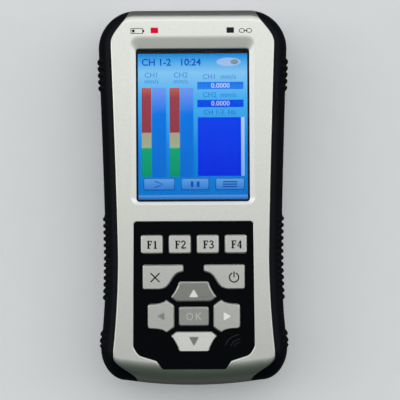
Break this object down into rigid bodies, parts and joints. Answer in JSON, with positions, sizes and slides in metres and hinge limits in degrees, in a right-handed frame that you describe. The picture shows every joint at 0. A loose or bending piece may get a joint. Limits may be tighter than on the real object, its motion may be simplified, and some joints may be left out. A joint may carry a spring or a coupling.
{
  "type": "handheld vibration meter",
  "caption": "Handheld vibration meter with a portrait display in a silver front, ribbed black side grips, a direction pad and function keys, and sensor sockets in its top end.",
  "frame": {"origin": "middle of the rear face's plane, under the middle of the overall box; the meter lies on its back", "axes": "+X to the right seen from the front, +Y towards the top end with the sockets, +Z out of the front face"},
  "size_m": [0.0954, 0.186, 0.038],
  "materials": {
    "silver_paint": "satin silver paint with fine metal flake",
    "key_paint": "satin silver paint",
    "charcoal_plastic": "fine spark-eroded texture",
    "black_rubber": "matt moulded rubber",
    "black_inlay": "satin black",
    "clear_window": "clear touch window",
    "display_glass": "lit liquid crystal panel",
    "white_plastic": "moulded",
    "tray_metal": "stamped",
    "amber_film": "polyimide film",
    "red_lens": "lit red window",
    "dark_lens": "dark window",
    "green_board": "solder mask",
    "screw_steel": "zinc plated",
    "black_resin": "moulded",
    "gold_contact": "gold plated",
    "brass_spacer": "turned",
    "grey_silicone": "moulded silicone",
    "socket_metal": "nickel plated",
    "pack_wrap": "shrink wrap",
    "black_foam": "soft foam"
  },
  "bodies": {
    "case": {"front_shell": "silver_paint", "rear_shell": "charcoal_plastic", "side_grip_left": "black_rubber", "side_grip_right": "black_rubber", "keypad_panel": "black_inlay", "display_window": "clear_window", "window_gasket": "black_foam", "display_panel": "display_glass", "backlight": "white_plastic", "display_frame": "tray_metal", "display_cable": "amber_film", "display_connector": "white_plastic", "battery_lamp_window": "red_lens", "link_lamp_window": "dark_lens", "indicator_lamps": "white_plastic", "main_board": "green_board", "board_screws": "screw_steel", "board_chips": "black_resin", "key_contacts": "gold_contact", "key_domes": "grey_silicone", "keypad_mat": "grey_silicone", "buzzer": "black_resin", "clock_cell": "screw_steel", "cell_holder": "black_resin", "acquisition_board": "green_board", "shield_can": "tray_metal", "board_spacers": "brass_spacer", "board_nuts": "screw_steel", "link_header": "black_resin", "top_panel": "charcoal_plastic", "sensor_socket_1": "socket_metal", "sensor_socket_2": "socket_metal", "socket_inserts": "black_resin", "socket_nuts": "socket_metal", "usb_socket": "socket_metal", "charge_socket": "black_resin", "charge_pin": "gold_contact", "battery_pack": "pack_wrap", "battery_contacts": "gold_contact", "case_seal": "black_foam", "case_screws": "screw_steel"},
    "key_f1": {"key_f1": "key_paint"},
    "key_f2": {"key_f2": "key_paint"},
    "key_f3": {"key_f3": "key_paint"},
    "key_f4": {"key_f4": "key_paint"},
    "key_cancel": {"key_cancel": "key_paint"},
    "key_power": {"key_power": "key_paint"},
    "key_up": {"key_up": "key_paint"},
    "key_down": {"key_down": "key_paint"},
    "key_left": {"key_left": "key_paint"},
    "key_right": {"key_right": "key_paint"},
    "key_ok": {"key_ok": "key_paint"},
    "battery_door": {"battery_door": "charcoal_plastic"}
  },
  "joints": [
    {"name": "key_f1_press", "type": "slide", "parent": "case", "child": "key_f1", "axis": [0, 0, -1], "range_m": [0, 0.001], "stiffness_N_per_m": 1500, "springref_m": -0.0005, "deforming": ["key_domes"]},
    {"name": "key_f2_press", "type": "slide", "parent": "case", "child": "key_f2", "axis": [0, 0, -1], "range_m": [0, 0.001], "stiffness_N_per_m": 1500, "springref_m": -0.0005, "deforming": ["key_domes"]},
    {"name": "key_f3_press", "type": "slide", "parent": "case", "child": "key_f3", "axis": [0, 0, -1], "range_m": [0, 0.001], "stiffness_N_per_m": 1500, "springref_m": -0.0005, "deforming": ["key_domes"]},
    {"name": "key_f4_press", "type": "slide", "parent": "case", "child": "key_f4", "axis": [0, 0, -1], "range_m": [0, 0.001], "stiffness_N_per_m": 1500, "springref_m": -0.0005, "deforming": ["key_domes"]},
    {"name": "key_cancel_press", "type": "slide", "parent": "case", "child": "key_cancel", "axis": [0, 0, -1], "range_m": [0, 0.001], "stiffness_N_per_m": 1500, "springref_m": -0.0005, "deforming": ["key_domes"]},
    {"name": "key_power_press", "type": "slide", "parent": "case", "child": "key_power", "axis": [0, 0, -1], "range_m": [0, 0.001], "stiffness_N_per_m": 1500, "springref_m": -0.0005, "deforming": ["key_domes"]},
    {"name": "key_up_press", "type": "slide", "parent": "case", "child": "key_up", "axis": [0, 0, -1], "range_m": [0, 0.001], "stiffness_N_per_m": 1500, "springref_m": -0.0005, "deforming": ["key_domes"]},
    {"name": "key_down_press", "type": "slide", "parent": "case", "child": "key_down", "axis": [0, 0, -1], "range_m": [0, 0.001], "stiffness_N_per_m": 1500, "springref_m": -0.0005, "deforming": ["key_domes"]},
    {"name": "key_left_press", "type": "slide", "parent": "case", "child": "key_left", "axis": [0, 0, -1], "range_m": [0, 0.001], "stiffness_N_per_m": 1500, "springref_m": -0.0005, "deforming": ["key_domes"]},
    {"name": "key_right_press", "type": "slide", "parent": "case", "child": "key_right", "axis": [0, 0, -1], "range_m": [0, 0.001], "stiffness_N_per_m": 1500, "springref_m": -0.0005, "deforming": ["key_domes"]},
    {"name": "key_ok_press", "type": "slide", "parent": "case", "child": "key_ok", "axis": [0, 0, -1], "range_m": [0, 0.001], "stiffness_N_per_m": 1500, "springref_m": -0.0005, "deforming": ["key_domes"]},
    {"name": "battery_door_slide", "type": "slide", "parent": "case", "child": "battery_door", "axis": [0, -1, 0], "range_m": [0, 0.07]}
  ]
}
